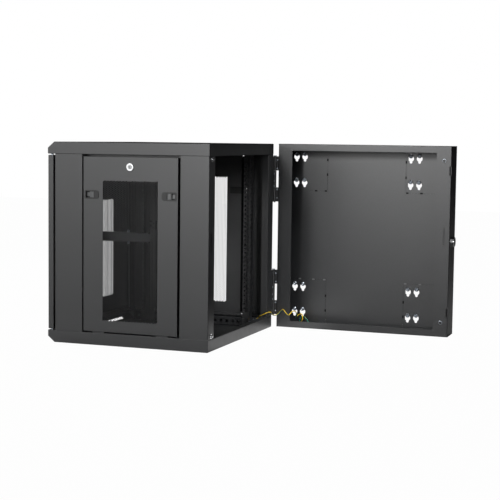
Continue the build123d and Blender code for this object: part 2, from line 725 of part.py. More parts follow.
def frame_end_channel(sides):
    """The top channel of the wall frame, cut to fit between the two side channels."""
    points = [
        (RIM, CABINET_HEIGHT - RIM_END),
        (RIM, CABINET_HEIGHT),
        (FRAME_BACK, CABINET_HEIGHT),
        (FRAME_BACK, CABINET_HEIGHT - BACK_LIP),
    ]
    section = folded_sheet(points, SHEET, Side.RIGHT)
    channel = extrude(Plane.YZ * section, HALF_WIDTH, both=True)
    for side in sides:
        box = side.bounding_box()
        low, high = box.min, box.max
        channel -= block(low.X, high.X, RIM, RIM + BEND_RADIUS, SHEET, CABINET_HEIGHT - SHEET)
        channel -= block(low.X, high.X, FRAME_BACK - BEND_RADIUS, FRAME_BACK, SHEET, CABINET_HEIGHT - SHEET)
    return channel


def keyhole(x, z):
    """A two-ended keyhole: a round middle with a narrow slot above and below it."""
    slot_run = 2 * (KEYHOLE_HALF_LENGTH - KEYHOLE_SLOT_RADIUS)
    slot = SlotCenterToCenter(slot_run, 2 * KEYHOLE_SLOT_RADIUS, rotation=90)
    return Pos(x, z) * (Circle(KEYHOLE_WIDE_RADIUS) + slot)


def corner_plate(hinge_side, upper):
    """One corner plate of the wall frame's back, with four keyholes."""
    plate_front = FRAME_BACK - 2 * SHEET
    inner = HALF_WIDTH - BEND_RADIUS
    low_x, high_x = (-inner, CORNER_HINGE_EDGE) if hinge_side else (CORNER_LOCK_EDGE, inner)
    low_z, high_z = BEND_RADIUS, CORNER_HEIGHT
    rows = (KEYHOLE_OUTER_INSET, KEYHOLE_INNER_INSET)
    if upper:
        low_z, high_z = CABINET_HEIGHT - CORNER_HEIGHT, CABINET_HEIGHT - BEND_RADIUS
        rows = (CABINET_HEIGHT - KEYHOLE_INNER_INSET, CABINET_HEIGHT - KEYHOLE_OUTER_INSET)
    column = KEYHOLE_HINGE_COLUMN if hinge_side else KEYHOLE_LOCK_COLUMN
    holes = Sketch()
    for z in rows:
        for x in (column, column + KEYHOLE_PAIR):
            holes += keyhole(x, z)
    punch = extrude(Plane.XZ.offset(-plate_front - 2 * SHEET) * holes, 4 * SHEET)
    return block(low_x, high_x, plate_front, plate_front + SHEET, low_z, high_z) - punch


def frame_back_plate():
    """The cross-shaped middle of the wall frame's back, between the four corner plates."""
    plate_front = FRAME_BACK - 2 * SHEET
    inner = HALF_WIDTH - BEND_RADIUS
    top = CABINET_HEIGHT - BEND_RADIUS
    plate = block(-inner, inner, plate_front, plate_front + SHEET, BEND_RADIUS, top)
    low = CORNER_HEIGHT + SEAM
    high = CABINET_HEIGHT - CORNER_HEIGHT - SEAM
    for x0, x1 in ((-HALF_WIDTH, CORNER_HINGE_EDGE + SEAM), (CORNER_LOCK_EDGE - SEAM, HALF_WIDTH)):
        for z0, z1 in ((0, low), (high, CABINET_HEIGHT)):
            plate -= block(x0, x1, plate_front - SHEET, plate_front + 2 * SHEET, z0, z1)
    return plate


def knuckle(bottom, top):
    """One knuckle of a hinge between two heights, bored for the pin."""
    height = top - bottom
    place = Pos(HINGE_X, HINGE_Y, (bottom + top) / 2)
    return place * Cylinder(KNUCKLE_RADIUS, height), place * Cylinder(
        HINGE_PIN_RADIUS + HINGE_PIN_CLEARANCE, 2 * height
    )


def hinge_heights(centre):
    """The heights of a hinge's three knuckles, from the bottom up."""
    half = HINGE_HEIGHT / 2
    half_middle = KNUCKLE_MIDDLE / 2
    lower = (centre - half, centre - half_middle - KNUCKLE_GAP)
    middle = (centre - half_middle, centre + half_middle)
    upper = (centre + half_middle + KNUCKLE_GAP, centre + half)
    return lower, middle, upper


def cabinet_leaf(centre):
    """A hinge's cabinet leaf, flat on the back of the post, with the middle knuckle."""
    lower, middle, upper = hinge_heights(centre)
    x = -HALF_WIDTH
    leaf = block(x + CABINET_LEAF_START, x + CABINET_LEAF_END, REAR, REAR + HINGE_LEAF, lower[0], upper[1])
    arm = block(HINGE_X, x + CABINET_LEAF_START, REAR, REAR + HINGE_LEAF, *middle)
    ring, bore = knuckle(*middle)
    return leaf + arm + ring - bore


def frame_leaf(centre):
    """A hinge's frame leaf, folded round the frame's corner on to its side wall, with the outer knuckles."""
    lower, middle, upper = hinge_heights(centre)
    wall = -HALF_WIDTH
    arm_back = HINGE_Y + KNUCKLE_RADIUS
    arm_front = arm_back - HINGE_LEAF
    leaf_end = RIM + FRAME_LEAF_END
    leaf = block(
        wall - HINGE_LEAF, wall, arm_back + FRAME_LEAF_MIDDLE_START, leaf_end, lower[0], upper[1]
    )
    bores = []
    for heights in (lower, upper):
        arm = block(HINGE_X, wall, arm_front, arm_back, *heights)
        run = block(wall - HINGE_LEAF, wall, arm_front, leaf_end, *heights)
        ring, bore = knuckle(*heights)
        leaf = leaf + arm + run + ring
        bores.append(bore)
    for bore in bores:
        leaf -= bore
    return opened(leaf)


def hinge_pin(centre):
    """A hinge's pin, its head on the top knuckle."""
    bottom = centre - HINGE_HEIGHT / 2 - HINGE_PIN_HEAD
    top = centre + HINGE_HEIGHT / 2
    shank = Pos(HINGE_X, HINGE_Y, (bottom + top) / 2) * Cylinder(HINGE_PIN_RADIUS, top - bottom)
    head = Pos(HINGE_X, HINGE_Y, top + HINGE_PIN_HEAD / 2) * Cylinder(KNUCKLE_RADIUS, HINGE_PIN_HEAD)
    return shank + head


def locating_pin(z):
    """A domed pin on the lock side post that enters the rim when the frame is shut."""
    shoulder = PIN_LENGTH - PIN_RADIUS / 2
    section = Polyline(
        (0, 0),
        (PIN_COLLAR_RADIUS, 0),
        (PIN_COLLAR_RADIUS, PIN_COLLAR_HEIGHT),
        (PIN_RADIUS, PIN_COLLAR_HEIGHT),
        (PIN_RADIUS, shoulder),
        (PIN_RADIUS / 2, PIN_LENGTH),
        (0, PIN_LENGTH),
        close=True,
    )
    pin = revolve(Plane.XZ * make_face(section), Axis.Z)
    return Pos(PIN_X, REAR, z) * Rot(-90, 0, 0) * pin


def earth_stud():
    """A stud standing on a face at z = 0, with a ring terminal under its head and a ferrule along +Y."""
    ring = Pos(0, 0, RING_THICKNESS / 2) * Cylinder(RING_RADIUS, RING_THICKNESS)
    head = Pos(0, 0, RING_THICKNESS + STUD_HEAD_HEIGHT / 2) * Cylinder(STUD_HEAD_RADIUS, STUD_HEAD_HEIGHT)
    tongue_end = RING_RADIUS + FERRULE_LENGTH - FERRULE_BORE_DEPTH
    tongue = block(-STUD_RADIUS, STUD_RADIUS, 0, tongue_end, 0, RING_THICKNESS)
    ferrule_middle = RING_RADIUS + FERRULE_LENGTH / 2
    ferrule = Pos(0, ferrule_middle, FERRULE_RADIUS) * Rot(90, 0, 0) * Cylinder(FERRULE_RADIUS, FERRULE_LENGTH)
    bore = Pos(0, RING_RADIUS + FERRULE_LENGTH, FERRULE_RADIUS) * Rot(90, 0, 0) * Cylinder(
        WIRE_RADIUS + FERRULE_CLEARANCE, 2 * FERRULE_BORE_DEPTH
    )
    return ring + head + tongue + ferrule - bore


def earth_wire():
    """The earth wire as a round tube along its route."""
    reach = RING_RADIUS + FERRULE_LENGTH
    tilt = math.radians(CABINET_TERMINAL_TILT)
    along = Vector(0, math.cos(tilt), math.sin(tilt))
    cabinet_mouth = Vector(-RAIL_SIDE + FERRULE_RADIUS, CABINET_STUD_Y, CABINET_STUD_Z) + along * reach
    frame_mouth = Vector(FRAME_STUD_X, FRAME_STUD_Y - reach, SHEET + FERRULE_RADIUS)
    hinge_foot = Vector(HINGE_X, HINGE_Y, 0)
    route = [cabinet_mouth - along * WIRE_ENTRY, cabinet_mouth + along * WIRE_CABINET_STRAIGHT]
    for point in WIRE_ROUTE:
        route.append(hinge_foot + Vector(*point))
    route += [frame_mouth - Vector(0, WIRE_FRAME_STRAIGHT, 0), frame_mouth + Vector(0, WIRE_ENTRY, 0)]
    radii = []
    for before, here, after in zip(route, route[1:], route[2:]):
        turn = math.radians((here - before).get_angle(after - here))
        run = min((here - before).length, (after - here).length)
        radii.append(WIRE_BEND_SHARE * run / math.tan(turn / 2))
    path = FilletPolyline(*route, radius=radii)
    start = Plane(origin=path @ 0, z_dir=path % 0)
    print("wire bend radii", [round(r, 1) for r in radii])
    print("wire length", round(path.length, 1))
    return sweep(start * Circle(WIRE_RADIUS), path)


def build_parts():
    """Every piece of the cabinet by its node name."""
    parts = {"base_pan": base_pan(), "top_cover": top_cover()}
    right = {
        "front_post": front_post(),
        "rear_post": rear_post(),
        "lower_brace": brace(),
        "mid_brace": mid_brace(),
        "front_rail": rack_rail(FRONT_RAIL_FACE, 1),
        "rear_rail": rack_rail(REAR_RAIL_FACE, -1),
        "side_panel": side_panel(),
        "front_latch_housing": latch_housing(),
        "front_latch_slider": latch_slider(),
    }
    right["upper_brace"] = mirror(right["lower_brace"], about=Plane.XY).moved(Pos(0, 0, CABINET_HEIGHT))
    right["rear_latch_housing"] = across_panel(right["front_latch_housing"])
    right["rear_latch_slider"] = across_panel(right["front_latch_slider"])
    panel_lock = Plane(
        origin=(HALF_WIDTH, PANEL_CENTRE, PANEL_LOCK_Z), x_dir=(0, -1, 0), z_dir=(1, 0, 0)
    )
    right["lock_barrel"] = panel_lock * lock_barrel(PANEL_LOCK_LENGTH, LOCK_FLANGE_RADIUS, LOCK_FLANGE_HEIGHT)
    right["lock_plug"] = panel_lock * lock_plug(PANEL_LOCK_LENGTH, LOCK_FLANGE_HEIGHT)
    right["lock_cam"] = panel_lock * lock_cam(PANEL_LOCK_LENGTH, PANEL_CAM_REACH)
    for name, shape in right.items():
        parts["right_" + name] = shape
        parts["left_" + name] = mirror(shape, about=Plane.YZ)
    parts["right_rear_post"] -= cam_slot(REAR)

    door_lock = Plane(
        origin=(-DOOR_EDGE + DOOR_LOCK_INSET, DOOR_FACE, DOOR_LOCK_HEIGHT), x_dir=(0, 0, -1), z_dir=(0, -1, 0)
    )
    parts["front_door"] = front_door()
    parts["door_upper_pivot"] = Pos(PIVOT_X, PIVOT_Y, DOOR_TOP) * door_pivot()
    parts["door_lower_pivot"] = Pos(PIVOT_X, PIVOT_Y, DOOR_BOTTOM) * mirror(door_pivot(), about=Plane.XY)
    parts["door_lock_barrel"] = door_lock * lock_barrel(DOOR_LOCK_LENGTH, LOCK_FLANGE_RADIUS, LOCK_FLANGE_HEIGHT)
    parts["door_lock_plug"] = door_lock * lock_plug(DOOR_LOCK_LENGTH, LOCK_FLANGE_HEIGHT)
    parts["door_lock_cam"] = door_lock * lock_cam(DOOR_LOCK_LENGTH, DOOR_CAM_REACH)

    plain_side = frame_side_channel()
    hinge_side = mirror(plain_side, about=Plane.YZ)
    top_channel = frame_end_channel([plain_side, hinge_side])
    bottom_channel = mirror(top_channel, about=Plane.XY).moved(Pos(0, 0, CABINET_HEIGHT))
    lock_side = plain_side - cam_slot(RIM)
    for pin_z, notch_z in (
        (PIN_END_INSET, NOTCH_INSET),
        (CABINET_HEIGHT - PIN_END_INSET, CABINET_HEIGHT - NOTCH_INSET),
    ):
        lock_side -= Pos(PIN_X, RIM, pin_z) * Rot(90, 0, 0) * Cylinder(PIN_HOLE_RADIUS, 4 * SHEET)
        lock_side -= block(
            HALF_WIDTH - NOTCH_DEPTH,
            HALF_WIDTH + SHEET,
            RIM - SHEET,
            RIM + BEND_RADIUS,
            notch_z - NOTCH_HEIGHT / 2,
            notch_z + NOTCH_HEIGHT / 2,
        )
    frame_lock = Plane(
        origin=(HALF_WIDTH, FRAME_LOCK_Y, FRAME_LOCK_HEIGHT), x_dir=(0, 0, 1), z_dir=(1, 0, 0)
    )
    lock_hole = frame_lock * Cylinder(LOCK_BODY_RADIUS + LOCK_HOLE_CLEARANCE, 4 * SHEET)
    parts["frame_lock_channel"] = opened(lock_side - lock_hole)
    parts["frame_hinge_channel"] = opened(hinge_side)
    parts["frame_top_channel"] = opened(top_channel)
    parts["frame_bottom_channel"] = opened(bottom_channel)
    parts["frame_back_plate"] = opened(frame_back_plate())
    for hinge, side_name in ((True, "hinge"), (False, "lock")):
        for upper, level in ((True, "upper"), (False, "lower")):
            parts[f"{level}_{side_name}_corner_plate"] = opened(corner_plate(hinge, upper))
    parts["frame_lock_barrel"] = opened(
        frame_lock * lock_barrel(FRAME_LOCK_LENGTH, FRAME_LOCK_FLANGE_RADIUS, FRAME_LOCK_FLANGE_HEIGHT)
    )
    parts["frame_lock_plug"] = opened(frame_lock * lock_plug(FRAME_LOCK_LENGTH, FRAME_LOCK_FLANGE_HEIGHT))
    parts["frame_lock_cam"] = opened(frame_lock * lock_cam(FRAME_LOCK_LENGTH, FRAME_CAM_REACH))

    for level, centre in (("upper", CABINET_HEIGHT - HINGE_CENTRE_INSET), ("lower", HINGE_CENTRE_INSET)):
        parts[f"{level}_hinge_cabinet_leaf"] = cabinet_leaf(centre)
        parts[f"{level}_hinge_frame_leaf"] = frame_leaf(centre)
        parts[f"{level}_hinge_pin"] = hinge_pin(centre)
    parts["locating_pins"] = locating_pin(PIN_END_INSET) + locating_pin(CABINET_HEIGHT - PIN_END_INSET)
    brace_face = Plane(
        origin=(-RAIL_SIDE, CABINET_STUD_Y, CABINET_STUD_Z), x_dir=(0, 0, -1), z_dir=(1, 0, 0)
    )
    parts["cabinet_earth_stud"] = brace_face * Rot(0, 0, CABINET_TERMINAL_TILT) * earth_stud()
    parts["frame_earth_stud"] = Pos(FRAME_STUD_X, FRAME_STUD_Y, SHEET) * Rot(0, 0, 180) * earth_stud()
    parts["earth_wire"] = earth_wire()
    return parts


os.makedirs("parts", exist_ok=True)
for node, solid in build_parts().items():
    export_step(solid, f"parts/{node}.step")
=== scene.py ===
import math

import bmesh
import bpy
from mathutils import Matrix, Vector


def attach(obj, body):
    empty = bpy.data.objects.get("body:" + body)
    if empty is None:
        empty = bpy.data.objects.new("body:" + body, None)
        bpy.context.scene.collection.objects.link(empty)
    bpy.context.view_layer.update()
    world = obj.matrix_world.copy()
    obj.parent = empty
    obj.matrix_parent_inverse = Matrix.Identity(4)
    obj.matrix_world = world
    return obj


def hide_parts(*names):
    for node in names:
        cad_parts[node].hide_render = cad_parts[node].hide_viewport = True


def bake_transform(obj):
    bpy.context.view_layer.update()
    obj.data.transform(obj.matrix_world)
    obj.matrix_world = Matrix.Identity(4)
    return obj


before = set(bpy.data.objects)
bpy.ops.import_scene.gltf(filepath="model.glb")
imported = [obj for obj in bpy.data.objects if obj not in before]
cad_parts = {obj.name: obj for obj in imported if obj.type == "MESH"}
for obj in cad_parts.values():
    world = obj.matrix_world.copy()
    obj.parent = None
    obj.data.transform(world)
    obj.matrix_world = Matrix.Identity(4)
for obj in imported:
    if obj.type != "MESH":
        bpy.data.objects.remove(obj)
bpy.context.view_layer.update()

# The viewpoint: behind the cabinet on its right, a little above its roof, through a long lens.
# The lens points slightly down, so the uprights lean by less than a degree.
eye = Vector((3.879036, 1.684485, 0.653289))
yaw = math.radians(199.661)
pitch = math.radians(-5.003)
roll = math.radians(-0.716)
focal_pixels = 1278.312
picture_pixels = 500
sensor = 36.0
ahead = Vector((math.cos(yaw) * math.cos(pitch), math.sin(yaw) * math.cos(pitch), math.sin(pitch)))
level_right = ahead.cross(Vector((0, 0, 1))).normalized()
level_down = ahead.cross(level_right)
right = level_right * math.cos(roll) + level_down * math.sin(roll)
down = level_down * math.cos(roll) - level_right * math.sin(roll)
camera_data = bpy.data.cameras.new("camera")
camera_data.sensor_width = sensor
camera_data.lens = sensor * focal_pixels / picture_pixels
camera_data.clip_start = 0.05
camera_data.clip_end = 100
camera = bpy.data.objects.new("camera", camera_data)
bpy.context.scene.collection.objects.link(camera)
camera.matrix_world = Matrix((
    (right.x, -down.x, -ahead.x, eye.x),
    (right.y, -down.y, -ahead.y, eye.y),
    (right.z, -down.z, -ahead.z, eye.z),
    (0, 0, 0, 1),
))
bpy.context.scene.camera = camera
bpy.context.scene.view_settings.view_transform = "Standard"

# The studio floor: a wide sheet of pale paper laid flat under the cabinet.
# It is white to the eye and throws little light back up. Behind the base a painted pool of light glows in
# the floor for glossy rays only, so that the gloss of the rear lip and the back of the frame show it as a
# painted reflection.
floor_half = 8.0
floor_drop = 0.0005
paper_grey = 0.36
paper_seen = 0.985
pool_centre = (-0.15, 0.34, 0)
pool_size = (0.62, 0.14, 1)
pool_core = 0.55
painted_pool_glow = 0.80
pool_outside = 0.02


def ramp(nodes, start, stop, first=0.0, last=1.0, kind="LINEAR"):
    node = nodes.new("ShaderNodeMapRange")
    node.interpolation_type = kind
    node.inputs["From Min"].default_value = start
    node.inputs["From Max"].default_value = stop
    node.inputs["To Min"].default_value = first
    node.inputs["To Max"].default_value = last
    return node


floor_mesh = bpy.data.meshes.new("studio_floor")
floor_mesh.from_pydata(
    [
        (-floor_half, -floor_half, 0),
        (floor_half, -floor_half, 0),
        (floor_half, floor_half, 0),
        (-floor_half, floor_half, 0),
    ],
    [],
    [(0, 1, 2, 3)],
)
studio_floor = bpy.data.objects.new("studio_floor", floor_mesh)
bpy.context.scene.collection.objects.link(studio_floor)
studio_floor.location.z = -floor_drop
floor_paper = bpy.data.materials.new("floor_paper")
floor_paper.use_nodes = True
nodes, links = floor_paper.node_tree.nodes, floor_paper.node_tree.links
nodes.clear()
output = nodes.new("ShaderNodeOutputMaterial")
paper_mix = nodes.new("ShaderNodeMixShader")
paper = nodes.new("ShaderNodeBsdfDiffuse")
paper.inputs["Color"].default_value = (paper_grey, paper_grey, paper_grey, 1)
paper_white = nodes.new("ShaderNodeEmission")
paper_white.inputs["Strength"].default_value = 1.0
path = nodes.new("ShaderNodeLightPath")
seen = nodes.new("ShaderNodeMath")
seen.operation = "MULTIPLY"
seen.inputs[1].default_value = paper_seen
floor_place = nodes.new("ShaderNodeTexCoord")
pool_fit = nodes.new("ShaderNodeMapping")
pool_fit.vector_type = "TEXTURE"
pool_fit.inputs["Location"].default_value = pool_centre
pool_fit.inputs["Scale"].default_value = pool_size
pool_reach = nodes.new("ShaderNodeVectorMath")
pool_reach.operation = "LENGTH"
# The painted pool of light: full in its core, fading to almost nothing at its rim, seen by glossy rays
# only.
pool = ramp(nodes, pool_core, 1.0, painted_pool_glow, pool_outside, "SMOOTHSTEP")
mirrored = nodes.new("ShaderNodeMath")
mirrored.operation = "MULTIPLY"
links.new(floor_place.outputs["Object"], pool_fit.inputs["Vector"])
links.new(pool_fit.outputs["Vector"], pool_reach.inputs[0])
links.new(pool_reach.outputs["Value"], pool.inputs["Value"])
links.new(pool.outputs["Result"], mirrored.inputs[1])
white_share = nodes.new("ShaderNodeMath")
white_share.operation = "MAXIMUM"
links.new(path.outputs["Is Camera Ray"], seen.inputs[0])
links.new(path.outputs["Is Glossy Ray"], mirrored.inputs[0])
links.new(seen.outputs[0], white_share.inputs[0])
links.new(mirrored.outputs[0], white_share.inputs[1])
links.new(white_share.outputs[0], paper_mix.inputs["Fac"])
links.new(paper.outputs[0], paper_mix.inputs[1])
links.new(paper_white.outputs[0], paper_mix.inputs[2])
links.new(paper_mix.outputs[0], output.inputs["Surface"])
floor_mesh.materials.append(floor_paper)

# The studio's walls and lamps: white behind, bright in a low band on the near side, dark across from it.
# A soft box hangs high before the near side, two small spots reach into the open back and down to the wire,
# and a broad lamp before the door adds plain light that the gloss doesn't mirror.
wall_way = (0.88, -0.46, 0.12)
wall_start = 0.10
wall_full = 0.85
band_foot = -0.19
band_low = 0.13
band_high = 0.14
band_head = 0.30
head_share = 0.10
fill_gain = 0.25
fill_least = 0.10
sheen_gain = 3.7
sheen_least = 0.01
world = bpy.data.worlds.new("studio")
bpy.context.scene.world = world
world.use_nodes = True
nodes, links = world.node_tree.nodes, world.node_tree.links
nodes.clear()
output = nodes.new("ShaderNodeOutputWorld")
surround_mix = nodes.new("ShaderNodeMixShader")
dim = nodes.new("ShaderNodeBackground")
white = nodes.new("ShaderNodeBackground")
white.inputs["Color"].default_value = (1, 1, 1, 1)
white.inputs["Strength"].default_value = 1.0
path = nodes.new("ShaderNodeLightPath")
direction = nodes.new("ShaderNodeTexCoord")
toward = nodes.new("ShaderNodeVectorMath")
toward.operation = "DOT_PRODUCT"
toward.inputs[1].default_value = wall_way
lit_side = ramp(nodes, wall_start, wall_full, kind="SMOOTHSTEP")
height = nodes.new("ShaderNodeSeparateXYZ")
above = ramp(nodes, band_foot, band_low, kind="SMOOTHSTEP")
overhead = ramp(nodes, band_high, band_head, 1.0, head_share, "SMOOTHSTEP")
level_band = nodes.new("ShaderNodeMath")
level_band.operation = "MULTIPLY"
lit = nodes.new("ShaderNodeMath")
lit.operation = "MULTIPLY"
links.new(direction.outputs["Generated"], toward.inputs[0])
links.new(direction.outputs["Generated"], height.inputs["Vector"])
links.new(toward.outputs["Value"], lit_side.inputs["Value"])
links.new(height.outputs["Z"], above.inputs["Value"])
links.new(lit_side.outputs["Result"], lit.inputs[0])
links.new(height.outputs["Z"], overhead.inputs["Value"])
links.new(above.outputs["Result"], level_band.inputs[0])
links.new(overhead.outputs["Result"], level_band.inputs[1])
links.new(level_band.outputs[0], lit.inputs[1])
fill = nodes.new("ShaderNodeMath")
fill.operation = "MULTIPLY_ADD"
fill.inputs[1].default_value = fill_gain
fill.inputs[2].default_value = fill_least
sheen = nodes.new("ShaderNodeMath")
sheen.operation = "MULTIPLY_ADD"
sheen.inputs[1].default_value = sheen_gain
sheen.inputs[2].default_value = sheen_least
wall_light = nodes.new("ShaderNodeMix")
links.new(lit.outputs[0], fill.inputs[0])
links.new(lit.outputs[0], sheen.inputs[0])
links.new(path.outputs["Is Glossy Ray"], wall_light.inputs["Factor"])
links.new(fill.outputs[0], wall_light.inputs["A"])
links.new(sheen.outputs[0], wall_light.inputs["B"])
links.new(wall_light.outputs["Result"], dim.inputs["Strength"])
clear = nodes.new("ShaderNodeMath")
clear.operation = "MAXIMUM"
links.new(path.outputs["Is Camera Ray"], clear.inputs[0])
links.new(path.outputs["Is Transmission Ray"], clear.inputs[1])
links.new(clear.outputs[0], surround_mix.inputs["Fac"])
links.new(dim.outputs[0], surround_mix.inputs[1])
links.new(white.outputs[0], surround_mix.inputs[2])
links.new(surround_mix.outputs[0], output.inputs["Surface"])
lamps = {
    "soft_box": {
        "place": (4.3, -0.29, 1.95),
        "aim": (-0.2, 0.5, 0.62),
        "size": (0.5, 0.9),
        "spread": 40.0,
        "power": 4.0,
        "mirrored": True,
    },
    "rear_spot": {
        "place": (1.33, 1.44, 1.86),
        "aim": (-0.28, 0.28, 0.18),
        "size": (0.3, 0.3),
        "spread": 34.0,
        "power": 0.45,
        "mirrored": True,
    },
    "wire_spot": {
        "place": (0.20, 0.96, 1.97),
        "aim": (-0.32, 0.33, 0.04),
        "size": (0.12, 0.12),
        "spread": 13.0,
        "power": 0.20,
        "mirrored": True,
    },
    "front_fill": {
        "place": (-3.0, -4.2, 2.4),
        "aim": (0, -0.1, 0.3),
        "size": (1.6, 1.2),
        "spread": 60.0,
        "power": 45.0,
        "mirrored": False,
    },
}
for lamp_name, setting in lamps.items():
    lamp_data = bpy.data.lights.new(lamp_name, "AREA")
    lamp_data.shape = "RECTANGLE"
    lamp_data.size = setting["size"][0]
    lamp_data.size_y = setting["size"][1]
    lamp_data.spread = math.radians(setting["spread"])
    lamp_data.energy = setting["power"]
    lamp = bpy.data.objects.new(lamp_name, lamp_data)
    bpy.context.scene.collection.objects.link(lamp)
    lamp.location = setting["place"]
    lamp.visible_glossy = setting["mirrored"]
    lamp.rotation_mode = "QUATERNION"
    shine_way = Vector(setting["aim"]) - Vector(setting["place"])
    lamp.rotation_quaternion = shine_way.to_track_quat("-Z", "Y")


# Base pan and top cover: two trays of folded steel sheet, welded at the corners and sprayed together.
# The coat is a fine satin powder, near black, baked on; it has a faint grain and slightly uneven gloss.
def powder_coat(name, colour, rough, peel=0.10, speckle=0.12, shine=1.0):
    drift_scale = 7.0
    grit_scale = 420.0
    gloss_scale = 60.0
    grain_scale = 900.0
    tone_swing = 0.07
    gloss_swing = 0.05
    grain_height = 0.0004
    coat = bpy.data.materials.new(name)
    coat.use_nodes = True
    nodes, links = coat.node_tree.nodes, coat.node_tree.links
    shader = nodes["Principled BSDF"]
    shader.inputs["Specular IOR Level"].default_value = shine
    place = nodes.new("ShaderNodeTexCoord")
    drift = nodes.new("ShaderNodeTexNoise")
    drift.inputs["Scale"].default_value = drift_scale
    drift.inputs["Detail"].default_value = 3.0
    tone = nodes.new("ShaderNodeValToRGB")
    tone.color_ramp.elements[0].position = 0.3
    tone.color_ramp.elements[0].color = (*(c * (1 - tone_swing) for c in colour), 1)
    tone.color_ramp.elements[1].position = 0.7
    tone.color_ramp.elements[1].color = (*(c * (1 + tone_swing) for c in colour), 1)
    grit = nodes.new("ShaderNodeTexNoise")
    grit.inputs["Scale"].default_value = grit_scale
    grit.inputs["Detail"].default_value = 2.0
    grit_share = ramp(nodes, 0.3, 0.7, 1.0 - speckle, 1.0 + speckle)
    speckled = nodes.new("ShaderNodeVectorMath")
    speckled.operation = "SCALE"
    links.new(place.outputs["Object"], drift.inputs["Vector"])
    links.new(place.outputs["Object"], grit.inputs["Vector"])
    links.new(drift.outputs["Fac"], tone.inputs["Fac"])
    links.new(grit.outputs["Fac"], grit_share.inputs["Value"])
    links.new(tone.outputs["Color"], speckled.inputs[0])
    links.new(grit_share.outputs["Result"], speckled.inputs["Scale"])
    links.new(speckled.outputs["Vector"], shader.inputs["Base Color"])
    gloss = nodes.new("ShaderNodeTexNoise")
    gloss.inputs["Scale"].default_value = gloss_scale
    gloss.inputs["Detail"].default_value = 4.0
    gloss_range = ramp(nodes, 0.0, 1.0, rough - gloss_swing, rough + gloss_swing)
    links.new(place.outputs["Object"], gloss.inputs["Vector"])
    links.new(gloss.outputs["Fac"], gloss_range.inputs["Value"])
    links.new(gloss_range.outputs["Result"], shader.inputs["Roughness"])
    grain = nodes.new("ShaderNodeTexNoise")
    grain.inputs["Scale"].default_value = grain_scale
    grain.inputs["Detail"].default_value = 2.0
    grain_bump = nodes.new("ShaderNodeBump")
    grain_bump.inputs["Strength"].default_value = peel
    grain_bump.inputs["Distance"].default_value = grain_height
    links.new(place.outputs["Object"], grain.inputs["Vector"])
    links.new(grain.outputs["Fac"], grain_bump.inputs["Height"])
    links.new(grain_bump.outputs["Normal"], shader.inputs["Normal"])
    return coat


def dress(node, material):
    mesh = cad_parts[node].data
    mesh.materials.clear()
    mesh.materials.append(material)


satin_coat = powder_coat("satin_coat", (0.026, 0.027, 0.029), 0.36)
for node in ("base_pan", "top_cover"):
    dress(node, satin_coat)

# Corner posts: upright channels folded from the same sheet, welded between base pan and top cover.
# They carry the cabinet's weight and take the coat in the same booth.
for side in ("left", "right"):
    for node in ("front_post", "rear_post"):
        dress(f"{side}_{node}", satin_coat)


# Rack rails and their braces: folded and punched steel in the same near-black coat, duller on the braces.
# Each rail is bolted through its side flange to the depth braces, with coated pan heads inside.
def bright_metal(name, colour, rough, scratch=0.03):
    mottle_scale = 220.0
    scratch_scale = 1400.0
    scratch_height = 0.0002
    dark_share = 0.88
    light_share = 1.08
    metal = bpy.data.materials.new(name)
    metal.use_nodes = True
    nodes, links = metal.node_tree.nodes, metal.node_tree.links
    shader = nodes["Principled BSDF"]
    shader.inputs["Metallic"].default_value = 1.0
    place = nodes.new("ShaderNodeTexCoord")
    mottle = nodes.new("ShaderNodeTexNoise")
    mottle.inputs["Scale"].default_value = mottle_scale
    mottle.inputs["Detail"].default_value = 3.0
    tone = nodes.new("ShaderNodeValToRGB")
    tone.color_ramp.elements[0].color = (*(c * dark_share for c in colour), 1)
    tone.color_ramp.elements[1].color = (*(c * light_share for c in colour), 1)
    links.new(place.outputs["Object"], mottle.inputs["Vector"])
    links.new(mottle.outputs["Fac"], tone.inputs["Fac"])
    links.new(tone.outputs["Color"], shader.inputs["Base Color"])
    spread = ramp(nodes, 0.0, 1.0, rough * 0.8, rough * 1.25)
    links.new(mottle.outputs["Fac"], spread.inputs["Value"])
    links.new(spread.outputs["Result"], shader.inputs["Roughness"])
    fine = nodes.new("ShaderNodeTexNoise")
    fine.inputs["Scale"].default_value = scratch_scale
    fine_bump = nodes.new("ShaderNodeBump")
    fine_bump.inputs["Strength"].default_value = scratch
    fine_bump.inputs["Distance"].default_value = scratch_height
    links.new(place.outputs["Object"], fine.inputs["Vector"])
    links.new(fine.outputs["Fac"], fine_bump.inputs["Height"])
    links.new(fine_bump.outputs["Normal"], shader.inputs["Normal"])
    return metal


def turned(name, rings, sides, place, axis, body, material):
    sharp_angle = math.radians(38)
    lean = Vector((0, 0, 1)).rotation_difference(Vector(axis))
    shape = bmesh.new()
    loops = []
    for ring in rings:
        radius, height, dent = ring
        count = sides if radius > 0 else 1
        loop = []
        for k in range(count):
            angle = 2 * math.pi * k / sides
            sunk = height - (dent if k % (sides // 4) == 0 else 0)
            point = Vector((radius * math.cos(angle), radius * math.sin(angle), sunk))
            loop.append(shape.verts.new(lean @ point + Vector(place)))
        loops.append(loop)
    for near, far in zip(loops, loops[1:]):
        for k in range(sides):
            m = (k + 1) % sides
            corners = [near[k % len(near)], near[m % len(near)], far[m % len(far)], far[k % len(far)]]
            shape.faces.new(list(dict.fromkeys(corners)))
    bmesh.ops.recalc_face_normals(shape, faces=shape.faces)
    mesh = bpy.data.meshes.new(name)
    shape.to_mesh(mesh)
    shape.free()
    for polygon in mesh.polygons:
        polygon.use_smooth = True
    mesh.set_sharp_from_angle(angle=sharp_angle)
    mesh.materials.append(material)
    piece = bpy.data.objects.new(name, mesh)
    bpy.context.scene.collection.objects.link(piece)
    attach(piece, body)


